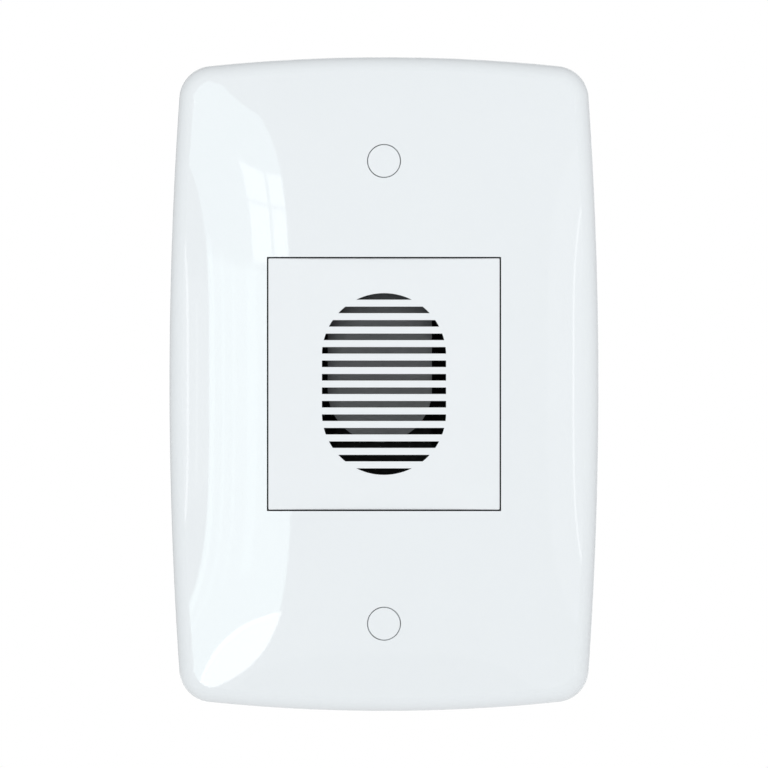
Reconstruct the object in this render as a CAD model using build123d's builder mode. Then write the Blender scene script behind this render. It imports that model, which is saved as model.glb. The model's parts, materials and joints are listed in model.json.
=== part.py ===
from build123d import *

import math
import os

os.makedirs("parts", exist_ok=True)

# Doorbell chime box for a flush wall box, in millimetres.
# X points right, Y points into the wall and Z points up, as seen from the room.
# The origin is on the wall face, midway between the two fixing screws.
# Depths are Y values, so what stands in front of the wall has a negative depth.

# Height of the plate's centre over the middle of the fixing screws
PLATE_RISE = 1.5

# Overrun of every cut past the face that it opens
OVERRUN = 1.0

# Cover plate
PLATE_WIDTH = 77.4
PLATE_HEIGHT = 117.9
CAP_MARGIN = 17.3
SIDE_RADIUS = 750.0
END_RADIUS = 308.0
CORNER_RADIUS = 6.0
RIM_DEPTH = 5.2
CROWN = 3.2
SIDE_POWER = 3
END_POWER = 4
DOME_TOLERANCE = 0.002
EDGE_ROUND = 3.0
SKIN = 2.0
EDGE_BREAK = 0.25
WINDOW_WIDTH = 42.1
WINDOW_HEIGHT = 45.7
WINDOW_CORNER = 0.5
COLLAR_WALL = 1.2
RIB_THICK = 1.0
RIB_SPREAD = 16.0
BOSS_WALL = 1.95
BOSS_FLOOR = 1.0
HOOK_WIDTH = 8.0
HOOK_THICK = 1.4
HOOK_BARB = 0.7
HOOK_BARB_HEIGHT = 0.7
HOOK_RISE = 30.0
HOOK_GAP = 0.1

# Support frame behind the plate
FRAME_WIDTH = 55.0
FRAME_END_MARGIN = 8.95
FRAME_CORNER = 4.0
FRAME_THICK = 1.6
FRAME_CLEARANCE = 0.3
PAD_RADIUS = 4.8
RING_HEIGHT = 1.6
RING_WALL = 1.6
BEAD_WIDTH = 1.4
BEAD_HEIGHT = 1.0
BEAD_CLEARANCE = 0.4
FIXING_SLOT_PLAY = 0.25
FIXING_SLOT_TRAVEL = 2.5

# Sounder insert: grille front, with its stop flange and skirt
INSERT_GAP = 0.2
INSERT_SUNK = 0.4
INSERT_FACE = 1.8
FLANGE_OVERLAP = 1.65
FLANGE_GAP = 0.15
FLANGE_THICK = 1.2
SKIRT_STEP = 0.55
SKIRT_WALL = 1.4
SKIRT_REACH = 2.0
LAP_DEPTH = 1.6
LAP_WALL = 0.7
LAP_GAP = 0.05
SLOT_COUNT = 14
SLOT_PITCH = 2.426
SLOT_HEIGHT = 1.186
GRILLE_WIDTH = 22.35
COLUMN_SIZE = 6.2
PILOT_DEPTH = 7.0

# Sounder case behind the grille front
CASE_REACH = 21.0
CASE_REAR = 1.8
POST_HEIGHT = 3.0
VENT_COUNT = 4
VENT_PITCH = 2.6
VENT_LENGTH = 11.0
VENT_HEIGHT = 1.1
LABEL_WIDTH = 16.0
LABEL_HEIGHT = 7.0
LABEL_DEPTH = 0.3
LABEL_RISE = 16.0
SNAP_DEPTH = 0.6
SNAP_THICK = 0.8

# Buzzer: blade, armature, magnet yoke, core and coil
BLADE_ACROSS = -0.755
COIL_RISE = -1.05
BLADE_WIDTH = 18.8
BLADE_THICK = 0.45
BLADE_SETBACK = 3.5
ARMATURE_RADIUS = 5.0
ARMATURE_THICK = 0.8
AIR_GAP = 0.8
CLAMP_MARGIN = 2.25
CLAMP_HEIGHT = 3.3
CLAMP_THICK = 1.2
CLAMP_GAP = 0.07
CLAMP_SCREW_SPREAD = 5.5
YOKE_WIDTH = 14.0
YOKE_THICK = 2.0
YOKE_BEND = 1.5
YOKE_FOOT = 6.0
ARM_DROP = 2.05
LIP_RISE = 1.95
EAR_MARGIN = 0.5
EAR_RISE = 9.0
EAR_HEIGHT = 7.0
PAD_THICK = 1.2
CORE_RADIUS = 3.5
CORE_SPIGOT_RADIUS = 2.5
CORE_RIVET_RADIUS = 3.2
CORE_RIVET_HEIGHT = 0.8
POLE_PROUD = 1.25
BOBBIN_WALL = 1.0
BOBBIN_FLANGE = 1.2
BOBBIN_RADIUS = 9.5
BOBBIN_GAP = 0.2
WINDING_SUNK = 0.75
TAPE_THICK = 0.2
LEAD_RADIUS = 0.45
LEAD_BEND = 1.2
LEAD_RUN = 1.8

# Terminal block and its two clamps
BLOCK_TOP = 11.2
BLOCK_DEPTH = 11.8
BLOCK_GAP = 0.1
BLOCK_STEP = 1.0
CELL_SHIFT = 0.35
CELL_WIDTH = 8.2
CELL_FLOOR = 3.0
CELL_ROOF = 2.3
CELL_DEPTH = 8.6
TERMINAL_THICK = 1.2
TERMINAL_INSET = 0.1
TAB_WIDTH = 2.4
TAB_PROUD = 1.6
CLAMP_PLATE_THICK = 1.0
CLAMP_PLATE_INSET = 0.3
CLAMP_PLATE_GAP = 0.1
WIRE_ENTRY_RADIUS = 1.1
SCREW_RELIEF_DEPTH = 2.1
GUARD_THICK = 0.8
GUARD_HEIGHT = 3.8
GUARD_MARGIN = 0.6
GUARD_GAP = 0.25

# Clearances shared by every screw and pin
THREAD_GAP = 0.03
SEAT_GAP = 0.02
SHANK_GAP = 0.2

# Screws: head radius, head height, shank radius
FIXING_HEAD_RADIUS = 2.8
FIXING_HEAD_HEIGHT = 2.0
FIXING_THREAD_RADIUS = 1.75
FIXING_NECK_RELIEF = 0.1
FIXING_HEAD_PLAY = 0.25
FIXING_LENGTH = 25.0
CASE_HEAD_RADIUS = 2.1
CASE_HEAD_HEIGHT = 1.5
CASE_SHANK_RADIUS = 1.15
CASE_SCREW_LENGTH = 18.0
CASE_HEAD_GAP = 0.2
YOKE_HEAD_RADIUS = 2.4
YOKE_HEAD_HEIGHT = 1.5
YOKE_SHANK_RADIUS = 1.25
YOKE_SCREW_PROUD = 0.6
YOKE_COUNTERBORE = 1.9
CLAMP_HEAD_RADIUS = 1.6
CLAMP_HEAD_HEIGHT = 1.1
CLAMP_SHANK_RADIUS = 1.0
TERMINAL_HEAD_RADIUS = 2.5
TERMINAL_HEAD_HEIGHT = 1.8
TERMINAL_SHANK_RADIUS = 1.5
TERMINAL_SCREW_PROUD = 1.8
HEAD_BREAK_SHARE = 0.15
DRIVE_WIDTH_SHARE = 0.3
DRIVE_DEPTH_SHARE = 0.5
TIP_SHARE = 0.4
TIP_ANGLE = 30

# Screw caps
CAP_THICK = 1.08
CAP_GAP = 0.15
CAP_LIP_GAP = 0.03
CAP_HEAD_GAP = 0.8
CAP_PRONG_LENGTH = 0.6
CAP_PRONG_WALL = 0.7
CAP_PRONG_SPLIT = 1.6
CAP_BREAK = 0.15

# Places of the two fixing screws, from the origin
FIXING_SPACING = PLATE_HEIGHT - 2 * CAP_MARGIN
FIXING_SPOTS = [(0, FIXING_SPACING / 2), (0, -FIXING_SPACING / 2)]
LOWER_CAP_SHARE = (FIXING_SPACING + 2 * PLATE_RISE) / PLATE_HEIGHT
CAP_BORE_RADIUS = FIXING_HEAD_RADIUS + FIXING_HEAD_PLAY
BOSS_RADIUS = CAP_BORE_RADIUS + BOSS_WALL
FIXING_NECK_RADIUS = FIXING_THREAD_RADIUS - FIXING_NECK_RELIEF
FIXING_SLOT_WIDTH = 2 * (FIXING_THREAD_RADIUS + FIXING_SLOT_PLAY)
FIXING_SLOT_LENGTH = FIXING_SLOT_WIDTH + FIXING_SLOT_TRAVEL


def dome_depth(across_share, up_share):
    """Depth of the plate's front: it falls from the crown by a power of the way to each side and end."""
    return RIM_DEPTH + CROWN * (1 - abs(across_share) ** SIDE_POWER) * (1 - abs(up_share) ** END_POWER)


# Depths, from the front of the lower cap back through its screw to the frame and the wall face
CAP_BACK = CAP_THICK - dome_depth(0, LOWER_CAP_SHARE)
BOSS_SEAT = CAP_BACK + CAP_HEAD_GAP + FIXING_HEAD_HEIGHT
FRAME_FRONT = BOSS_SEAT + BOSS_FLOOR
FRAME_BACK = FRAME_FRONT + FRAME_THICK
FLANGE_BACK = FRAME_FRONT - RING_HEIGHT
FLANGE_FRONT = FLANGE_BACK - FLANGE_THICK
STIFFENER_BACK = FRAME_FRONT - BEAD_HEIGHT - BEAD_CLEARANCE
PLATE_REACH = dome_depth(0, 0)
HOOK_END = FRAME_BACK + HOOK_GAP + HOOK_BARB_HEIGHT
INSERT_FRONT = INSERT_SUNK - PLATE_REACH
INSERT_INNER = INSERT_FRONT + INSERT_FACE

# Depths of the buzzer, whose blade hangs behind the grille and whose yoke stands on the case's posts
CASE_INNER = CASE_REACH - CASE_REAR
POST_FRONT = CASE_INNER - POST_HEIGHT
YOKE_BACK = POST_FRONT - PAD_THICK
YOKE_FRONT = YOKE_BACK - YOKE_THICK
BLADE_FRONT = INSERT_INNER + BLADE_SETBACK
BLADE_BACK = BLADE_FRONT + BLADE_THICK
ARMATURE_BACK = BLADE_BACK + ARMATURE_THICK
POLE_FACE = ARMATURE_BACK + AIR_GAP
BOBBIN_FRONT = POLE_FACE + POLE_PROUD
BOBBIN_BACK = YOKE_FRONT - BOBBIN_GAP
WINDING_FRONT = BOBBIN_FRONT + BOBBIN_FLANGE
WINDING_BACK = BOBBIN_BACK - BOBBIN_FLANGE
LIP_FRONT = BLADE_BACK + CLAMP_GAP
CLAMP_BACK = BLADE_FRONT - CLAMP_GAP
CLAMP_FRONT = CLAMP_BACK - CLAMP_THICK
YOKE_SEAT = CASE_REACH - YOKE_COUNTERBORE
CASE_SEAT = SKIRT_REACH - PILOT_DEPTH + OVERRUN + CASE_SCREW_LENGTH

# Widths and heights that follow the window
INSERT_SIZE = (WINDOW_WIDTH - 2 * INSERT_GAP, WINDOW_HEIGHT - 2 * INSERT_GAP)
FLANGE_SIZE = (WINDOW_WIDTH + 2 * FLANGE_OVERLAP, WINDOW_HEIGHT + 2 * FLANGE_OVERLAP)
POCKET_SIZE = (FLANGE_SIZE[0] + 2 * FLANGE_GAP, FLANGE_SIZE[1] + 2 * FLANGE_GAP)
COLLAR_SIZE = (POCKET_SIZE[0] + 2 * COLLAR_WALL, POCKET_SIZE[1] + 2 * COLLAR_WALL)
SKIRT_SIZE = (WINDOW_WIDTH - 2 * SKIRT_STEP, WINDOW_HEIGHT - 2 * SKIRT_STEP)
INNER_SIZE = (SKIRT_SIZE[0] - 2 * SKIRT_WALL, SKIRT_SIZE[1] - 2 * SKIRT_WALL)
LAP_SIZE = (INNER_SIZE[0] + 2 * LAP_WALL, INNER_SIZE[1] + 2 * LAP_WALL)
FRAME_WINDOW = (SKIRT_SIZE[0] + 2 * FRAME_CLEARANCE, SKIRT_SIZE[1] + 2 * FRAME_CLEARANCE)
RING_SIZE = (FRAME_WINDOW[0] + 2 * RING_WALL, FRAME_WINDOW[1] + 2 * RING_WALL)
COLUMN_SPACING = (SKIRT_SIZE[0] - COLUMN_SIZE, SKIRT_SIZE[1] - COLUMN_SIZE)

# Heights and widths of the buzzer and the terminal block, from the plate's centre
FRAME_HEIGHT = PLATE_HEIGHT - 2 * FRAME_END_MARGIN
WINDING_RADIUS = BOBBIN_RADIUS - WINDING_SUNK
CLAMP_RISE = INNER_SIZE[1] / 2 - CLAMP_MARGIN
EAR_SPREAD = BOBBIN_RADIUS + EAR_MARGIN
LIP_TOP = CLAMP_RISE + LIP_RISE
ARM_MIDDLE = CLAMP_RISE - ARM_DROP
YOKE_BOTTOM = COIL_RISE - YOKE_FOOT
EAR_SPOTS = [(BLADE_ACROSS + side * EAR_SPREAD, EAR_RISE) for side in (-1, 1)]
BLOCK_BOTTOM = SKIRT_SIZE[1] / 2
BLOCK_WIDTH = SKIRT_SIZE[0] - 2 * COLUMN_SIZE - 2 * BLOCK_GAP
BLOCK_HEIGHT = BLOCK_BOTTOM - BLOCK_TOP
BLOCK_MIDDLE = -(BLOCK_BOTTOM + BLOCK_TOP) / 2
CELL_SPREAD = BLOCK_WIDTH / 4 - CELL_SHIFT
CELL_HEIGHT = BLOCK_HEIGHT - CELL_FLOOR - CELL_ROOF
CELL_MIDDLE = -BLOCK_BOTTOM + CELL_FLOOR + CELL_HEIGHT / 2
BLOCK_FRONT = CASE_REACH - BLOCK_DEPTH
CELL_FRONT = CASE_REACH - CELL_DEPTH
TERMINAL_BACK = CELL_FRONT + TERMINAL_THICK
CLAMP_PLATE_FRONT = TERMINAL_BACK + CLAMP_PLATE_GAP
CLAMP_PLATE_BACK = CLAMP_PLATE_FRONT + CLAMP_PLATE_THICK
TERMINAL_SEAT = CLAMP_PLATE_BACK + SEAT_GAP
WIRE_DEPTH = TERMINAL_BACK + WIRE_ENTRY_RADIUS
TAB_TOP = BLOCK_TOP - TAB_PROUD


def room_plane(depth, rise=0, across=0):
    """Plane parallel to the wall at a depth, facing the room, moved up by rise and right by across."""
    return Plane(origin=(across, depth, rise), x_dir=(1, 0, 0), z_dir=(0, -1, 0))


def wall_plane(depth, rise=0, across=0):
    """Plane parallel to the wall at a depth, facing into the wall, with its own x to the left."""
    return Plane(origin=(across, depth, rise), x_dir=(-1, 0, 0), z_dir=(0, 1, 0))


def plate_corner(inset):
    """Where the long side's arc meets the end's arc, in the plate's upper right corner."""
    side_centre = PLATE_WIDTH / 2 - SIDE_RADIUS
    end_centre = PLATE_HEIGHT / 2 - END_RADIUS
    across, rise = PLATE_WIDTH / 2, PLATE_HEIGHT / 2
    for _ in range(50):
        across = side_centre + math.sqrt((SIDE_RADIUS - inset) ** 2 - rise**2)
        rise = end_centre + math.sqrt((END_RADIUS - inset) ** 2 - across**2)
    return across, rise


def dome(lowered):
    """Front surface of the plate, set back by lowered and carried a little past the plate's edges."""
    margin, rows, columns = 1.08, 25, 17
    surface = []
    for i in range(columns):
        across_share = margin * (2 * i / (columns - 1) - 1)
        line = []
        for j in range(rows):
            up_share = margin * (2 * j / (rows - 1) - 1)
            line.append(
                Vector(
                    across_share * PLATE_WIDTH / 2,
                    lowered - dome_depth(across_share, up_share),
                    PLATE_RISE + up_share * PLATE_HEIGHT / 2,
                )
            )
        surface.append(line)
    return Face.make_surface_from_array_of_points(surface, tol=DOME_TOLERANCE, min_deg=3, max_deg=5)


def plate_form(inset, lowered, edge_round):
    """Solid from the wall face to the dome, drawn in and lowered, with its front edge rounded."""
    across, rise = plate_corner(inset)
    side, end = PLATE_WIDTH / 2 - inset, PLATE_HEIGHT / 2 - inset
    with BuildPart() as form:
        with BuildSketch(room_plane(0, PLATE_RISE)) as outline:
            with BuildLine():
                ThreePointArc((across, -rise), (side, 0), (across, rise))
                ThreePointArc((across, rise), (0, end), (-across, rise))
                ThreePointArc((-across, rise), (-side, 0), (-across, -rise))
                ThreePointArc((-across, -rise), (0, -end), (across, -rise))
            make_face()
            fillet(outline.vertices(), CORNER_RADIUS - inset)
        extrude(amount=PLATE_REACH + OVERRUN)
        split(bisect_by=dome(lowered), keep=Keep.BOTTOM)
        front = form.faces().sort_by(Axis.Y)[0]
        fillet(front.edges(), edge_round)
    return form.part


def screws(plane, spots, head_radius, head_height, shank_radius, length, cross=False, neck=None):
    """Screws on a plane that faces out of their heads, each with a drive slot or cross and a tapered tip.

    A neck is given by its radius and its length from the head."""
    tip = shank_radius * TIP_SHARE
    drive_width = head_radius * DRIVE_WIDTH_SHARE
    with BuildPart() as group:
        with BuildSketch(plane):
            with Locations(*spots):
                Circle(head_radius)
        extrude(amount=head_height)
        rims = group.edges().filter_by(GeomType.CIRCLE).filter_by_position(
            Axis(plane.origin, plane.z_dir), head_height * 0.99, head_height * 1.01
        )
        chamfer(rims, head_radius * HEAD_BREAK_SHARE)
        with BuildSketch(plane):
            with Locations(*spots):
                Circle(shank_radius)
        extrude(amount=tip - length)
        with BuildSketch(plane.offset(tip - length)):
            with Locations(*spots):
                Circle(shank_radius)
        extrude(amount=-tip, taper=TIP_ANGLE)
        if neck:
            neck_radius, neck_length = neck
            with BuildSketch(plane):
                with Locations(*spots):
                    Circle(shank_radius)
                    Circle(neck_radius, mode=Mode.SUBTRACT)
            extrude(amount=-neck_length, mode=Mode.SUBTRACT)
        with BuildSketch(plane.offset(head_height)):
            with Locations(*spots):
                if cross:
                    Rectangle(2 * head_radius * (1 - DRIVE_WIDTH_SHARE), drive_width)
                    Rectangle(drive_width, 2 * head_radius * (1 - DRIVE_WIDTH_SHARE))
                else:
                    Rectangle(2 * head_radius, drive_width)
        extrude(amount=-head_height * DRIVE_DEPTH_SHARE, mode=Mode.SUBTRACT)
    return group


# Outer form of the plate, which also shapes the faces of the screw caps, and the space under its skin
outer_form = plate_form(0, 0, EDGE_ROUND)
inner_form = plate_form(SKIN, SKIN, EDGE_ROUND - SKIN)

# Hollow of the plate, with the collar, bosses, ribs and hooks left standing in it
with BuildPart() as hollow:
    add(inner_form)
    with BuildSketch(room_plane(STIFFENER_BACK, PLATE_RISE)):
        Rectangle(*COLLAR_SIZE)
        with GridLocations(2 * RIB_SPREAD, 0, 2, 1):
            Rectangle(RIB_THICK, PLATE_HEIGHT)
    extrude(amount=PLATE_REACH + OVERRUN, mode=Mode.SUBTRACT)
    with BuildSketch(room_plane(FRAME_FRONT)):
        with Locations(*FIXING_SPOTS):
            Circle(BOSS_RADIUS)
    extrude(amount=PLATE_REACH + OVERRUN, mode=Mode.SUBTRACT)
    hook_spacing = FRAME_WIDTH + 2 * HOOK_GAP + HOOK_THICK
    with BuildSketch(room_plane(HOOK_END, PLATE_RISE)):
        with GridLocations(hook_spacing, 2 * HOOK_RISE, 2, 2):
            Rectangle(HOOK_THICK, HOOK_WIDTH)
    extrude(amount=PLATE_REACH + OVERRUN, mode=Mode.SUBTRACT)
    with BuildSketch(room_plane(HOOK_END, PLATE_RISE)):
        with GridLocations(hook_spacing - HOOK_THICK, 2 * HOOK_RISE, 2, 2):
            Rectangle(2 * HOOK_BARB, HOOK_WIDTH)
    extrude(amount=HOOK_BARB_HEIGHT, mode=Mode.SUBTRACT)

with BuildPart() as cover_plate:
    add(outer_form)
    add(hollow.part, mode=Mode.SUBTRACT)
    with BuildSketch(room_plane(0, PLATE_RISE)):
        RectangleRounded(WINDOW_WIDTH, WINDOW_HEIGHT, WINDOW_CORNER)
    extrude(amount=PLATE_REACH + OVERRUN, mode=Mode.SUBTRACT)
    with BuildSketch(room_plane(0, PLATE_RISE)):
        Rectangle(*POCKET_SIZE)
    extrude(amount=-FLANGE_FRONT, mode=Mode.SUBTRACT)
    with BuildSketch(room_plane(BOSS_SEAT)):
        with Locations(*FIXING_SPOTS):
            Circle(CAP_BORE_RADIUS)
    extrude(amount=PLATE_REACH + OVERRUN, mode=Mode.SUBTRACT)
    with BuildSketch(room_plane(0)):
        with Locations(*FIXING_SPOTS):
            Circle(FIXING_THREAD_RADIUS + SHANK_GAP)
    extrude(amount=PLATE_REACH + OVERRUN, mode=Mode.SUBTRACT)

# Caps over the fixing screws: a domed disc with three prongs that grip the bore
for name, spot in zip(("cap_upper", "cap_lower"), FIXING_SPOTS):
    with BuildPart() as cap:
        with BuildSketch(room_plane(CAP_BACK)):
            with Locations(spot):
                Circle(CAP_BORE_RADIUS - CAP_GAP)
        extrude(amount=PLATE_REACH)
        add(outer_form, mode=Mode.INTERSECT)
        front = cap.faces().sort_by(Axis.Y)[0]
        fillet(front.edges(), CAP_BREAK)
        with BuildSketch(room_plane(CAP_BACK + CAP_PRONG_LENGTH)):
            with Locations(spot):
                Circle(CAP_BORE_RADIUS - CAP_LIP_GAP)
                Circle(CAP_BORE_RADIUS - CAP_PRONG_WALL, mode=Mode.SUBTRACT)
                with PolarLocations(CAP_BORE_RADIUS, 3):
                    Rectangle(2 * CAP_PRONG_WALL + OVERRUN, CAP_PRONG_SPLIT, mode=Mode.SUBTRACT)
        extrude(amount=CAP_PRONG_LENGTH)
    cap.part.label = name
    export_step(cap.part, f"parts/{name}.step")

# Fixing screws: the neck through the plate and frame is thinner than the thread behind them
mounting_screws = screws(
    room_plane(BOSS_SEAT),
    FIXING_SPOTS,
    FIXING_HEAD_RADIUS,
    FIXING_HEAD_HEIGHT,
    FIXING_THREAD_RADIUS,
    FIXING_LENGTH,
    neck=(FIXING_NECK_RADIUS, -BOSS_SEAT),
)

with BuildPart() as support_frame:
    with BuildSketch(room_plane(FRAME_BACK, PLATE_RISE)):
        RectangleRounded(FRAME_WIDTH, FRAME_HEIGHT, FRAME_CORNER)
    extrude(amount=FRAME_THICK)
    with BuildSketch(room_plane(FRAME_FRONT, PLATE_RISE)):
        Rectangle(*RING_SIZE)
    extrude(amount=RING_HEIGHT)
    with BuildSketch(room_plane(FRAME_FRONT, PLATE_RISE)):
        with GridLocations(FRAME_WIDTH - BEAD_WIDTH, 0, 2, 1):
            Rectangle(BEAD_WIDTH, FRAME_HEIGHT - 2 * FRAME_CORNER)
    extrude(amount=BEAD_HEIGHT)
    with BuildSketch(room_plane(0)):
        with Locations(*FIXING_SPOTS):
            Circle(PAD_RADIUS)
    extrude(amount=-FRAME_BACK)
    with BuildSketch(room_plane(0, PLATE_RISE)):
        Rectangle(*FRAME_WINDOW)
    extrude(amount=-FLANGE_BACK + OVERRUN, mode=Mode.SUBTRACT)
    with BuildSketch(room_plane(0)):
        with Locations(*FIXING_SPOTS):
            SlotOverall(FIXING_SLOT_LENGTH, FIXING_SLOT_WIDTH)
    extrude(amount=-FRAME_FRONT + OVERRUN, mode=Mode.SUBTRACT)

with BuildPart() as grille_front:
    with BuildSketch(room_plane(SKIRT_REACH, PLATE_RISE)):
        Rectangle(*SKIRT_SIZE)
    extrude(amount=SKIRT_REACH - FLANGE_BACK)
    with BuildSketch(room_plane(FLANGE_BACK, PLATE_RISE)):
        Rectangle(*FLANGE_SIZE)
    extrude(amount=FLANGE_THICK)
    with BuildSketch(room_plane(FLANGE_FRONT, PLATE_RISE)):
        RectangleRounded(*INSERT_SIZE, WINDOW_CORNER - INSERT_GAP)
    extrude(amount=FLANGE_FRONT - INSERT_FRONT)
    front = grille_front.faces().sort_by(Axis.Y)[0]
    fillet(front.edges(), EDGE_BREAK)
    with BuildSketch(room_plane(SKIRT_REACH, PLATE_RISE)):
        Rectangle(*INNER_SIZE)
        with GridLocations(*COLUMN_SPACING, 2, 2):
            Rectangle(COLUMN_SIZE, COLUMN_SIZE, mode=Mode.SUBTRACT)
    extrude(amount=SKIRT_REACH - INSERT_INNER, mode=Mode.SUBTRACT)
    with BuildSketch(room_plane(SKIRT_REACH, PLATE_RISE)):
        Rectangle(*LAP_SIZE)
        Rectangle(*INNER_SIZE, mode=Mode.SUBTRACT)
    extrude(amount=LAP_DEPTH, mode=Mode.SUBTRACT)
    with BuildSketch(room_plane(SKIRT_REACH, PLATE_RISE)):
        with GridLocations(*COLUMN_SPACING, 2, 2):
            Circle(CASE_SHANK_RADIUS + THREAD_GAP)
    extrude(amount=PILOT_DEPTH, mode=Mode.SUBTRACT)
    grille_height = (SLOT_COUNT - 1) * SLOT_PITCH + SLOT_HEIGHT
    with BuildSketch(room_plane(INSERT_INNER, PLATE_RISE)):
        with GridLocations(0, SLOT_PITCH, 1, SLOT_COUNT):
            Rectangle(GRILLE_WIDTH, SLOT_HEIGHT)
        SlotOverall(grille_height, GRILLE_WIDTH, rotation=90, mode=Mode.INTERSECT)
    extrude(amount=INSERT_FACE + OVERRUN, mode=Mode.SUBTRACT)

with BuildPart() as sounder_case:
    with BuildSketch(wall_plane(SKIRT_REACH, PLATE_RISE)):
        Rectangle(*SKIRT_SIZE)
    extrude(amount=CASE_REACH - SKIRT_REACH)
    with BuildSketch(wall_plane(SKIRT_REACH, PLATE_RISE)):
        Rectangle(*INNER_SIZE)
        with GridLocations(*COLUMN_SPACING, 2, 2):
            Rectangle(COLUMN_SIZE, COLUMN_SIZE, mode=Mode.SUBTRACT)
    extrude(amount=CASE_INNER - SKIRT_REACH, mode=Mode.SUBTRACT)
    with BuildSketch(room_plane(SKIRT_REACH, PLATE_RISE)):
        Rectangle(LAP_SIZE[0] - 2 * LAP_GAP, LAP_SIZE[1] - 2 * LAP_GAP)
        Rectangle(INNER_SIZE[0] + 2 * LAP_GAP, INNER_SIZE[1] + 2 * LAP_GAP, mode=Mode.SUBTRACT)
    extrude(amount=LAP_DEPTH - LAP_GAP)
    with BuildSketch(room_plane(CASE_INNER, PLATE_RISE)):
        with Locations(*EAR_SPOTS):
            Circle(EAR_HEIGHT / 2)
    extrude(amount=CASE_INNER - POST_FRONT)
    with BuildSketch(room_plane(CASE_REACH, PLATE_RISE)):
        with Locations((0, BLOCK_MIDDLE)):
            Rectangle(BLOCK_WIDTH + 2 * BLOCK_GAP, BLOCK_HEIGHT - 2 * BLOCK_STEP)
        with Locations((0, -BLOCK_BOTTOM)):
            Rectangle(BLOCK_WIDTH + 2 * BLOCK_GAP, BLOCK_HEIGHT)
    extrude(amount=CASE_REACH - BLOCK_FRONT + BLOCK_GAP, mode=Mode.SUBTRACT)
    with BuildSketch(room_plane(BLOCK_FRONT - BLOCK_GAP, PLATE_RISE)):
        with GridLocations(BLOCK_WIDTH + 2 * BLOCK_GAP - SNAP_DEPTH, 0, 2, 1):
            with Locations((0, BLOCK_MIDDLE)):
                Rectangle(SNAP_DEPTH, BLOCK_HEIGHT - 2 * CELL_FLOOR)
    extrude(amount=SNAP_THICK)
    with BuildSketch(room_plane(CASE_REACH, PLATE_RISE)):
        with GridLocations(*COLUMN_SPACING, 2, 2):
            Circle(CASE_SHANK_RADIUS + SHANK_GAP)
    extrude(amount=CASE_REACH, mode=Mode.SUBTRACT)
    with BuildSketch(room_plane(CASE_REACH, PLATE_RISE)):
        with GridLocations(*COLUMN_SPACING, 2, 2):
            Circle(CASE_HEAD_RADIUS + CASE_HEAD_GAP)
    extrude(amount=CASE_REACH - CASE_SEAT, mode=Mode.SUBTRACT)
    with BuildSketch(room_plane(CASE_REACH, PLATE_RISE)):
        with Locations(*EAR_SPOTS):
            Circle(YOKE_SHANK_RADIUS + SHANK_GAP)
    extrude(amount=CASE_REACH - POST_FRONT, mode=Mode.SUBTRACT)
    with BuildSketch(room_plane(CASE_REACH, PLATE_RISE)):
        with Locations(*EAR_SPOTS):
            Circle(YOKE_HEAD_RADIUS + CASE_HEAD_GAP)
    extrude(amount=YOKE_COUNTERBORE, mode=Mode.SUBTRACT)
    with BuildSketch(room_plane(CASE_REACH, PLATE_RISE)):
        with GridLocations(0, VENT_PITCH, 1, VENT_COUNT):
            SlotOverall(VENT_LENGTH, VENT_HEIGHT)
    extrude(amount=CASE_REAR, mode=Mode.SUBTRACT)
    with BuildSketch(room_plane(CASE_REACH, PLATE_RISE)):
        with Locations((0, LABEL_RISE)):
            Rectangle(LABEL_WIDTH, LABEL_HEIGHT)
    extrude(amount=LABEL_DEPTH, mode=Mode.SUBTRACT)

# Screws that pull the case onto the grille front, from behind
column_spots = [
    (side * COLUMN_SPACING[0] / 2, end * COLUMN_SPACING[1] / 2) for side in (-1, 1) for end in (-1, 1)
]
case_screws = screws(
    wall_plane(CASE_SEAT, PLATE_RISE),
    column_spots,
    CASE_HEAD_RADIUS,
    CASE_HEAD_HEIGHT,
    CASE_SHANK_RADIUS,
    CASE_SCREW_LENGTH,
    cross=True,
)

# Blade: a thin steel strip with a round lower end, slack in its clamp
clamp_spots = [(BLADE_ACROSS + side * CLAMP_SCREW_SPREAD, CLAMP_RISE) for side in (-1, 1)]
with BuildPart() as vibrating_blade:
    with BuildSketch(room_plane(BLADE_BACK, PLATE_RISE)):
        with Locations((BLADE_ACROSS, COIL_RISE)):
            Circle(BLADE_WIDTH / 2)
        with Locations((BLADE_ACROSS, (COIL_RISE + CLAMP_RISE + CLAMP_HEIGHT / 2) / 2)):
            Rectangle(BLADE_WIDTH, CLAMP_RISE + CLAMP_HEIGHT / 2 - COIL_RISE)
        with Locations(*clamp_spots):
            Circle(CLAMP_SHANK_RADIUS + SHANK_GAP, mode=Mode.SUBTRACT)
    extrude(amount=BLADE_THICK)

with BuildPart() as armature_disc:
    with BuildSketch(room_plane(ARMATURE_BACK, PLATE_RISE)):
        with Locations((BLADE_ACROSS, COIL_RISE)):
            Circle(ARMATURE_RADIUS)
    extrude(amount=ARMATURE_THICK)

with BuildPart() as blade_clamp:
    with BuildSketch(room_plane(CLAMP_BACK, PLATE_RISE)):
        with Locations((BLADE_ACROSS, CLAMP_RISE)):
            Rectangle(YOKE_WIDTH, CLAMP_HEIGHT)
        with Locations(*clamp_spots):
            Circle(CLAMP_SHANK_RADIUS + SHANK_GAP / 2, mode=Mode.SUBTRACT)
    extrude(amount=CLAMP_THICK)
    front = blade_clamp.faces().sort_by(Axis.Y)[0]
    chamfer(front.outer_wire().edges(), EDGE_BREAK)

clamp_screws = screws(
    room_plane(CLAMP_FRONT, PLATE_RISE),
    clamp_spots,
    CLAMP_HEAD_RADIUS,
    CLAMP_HEAD_HEIGHT,
    CLAMP_SHANK_RADIUS,
    LIP_FRONT + YOKE_THICK - CLAMP_FRONT,
)

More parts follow.
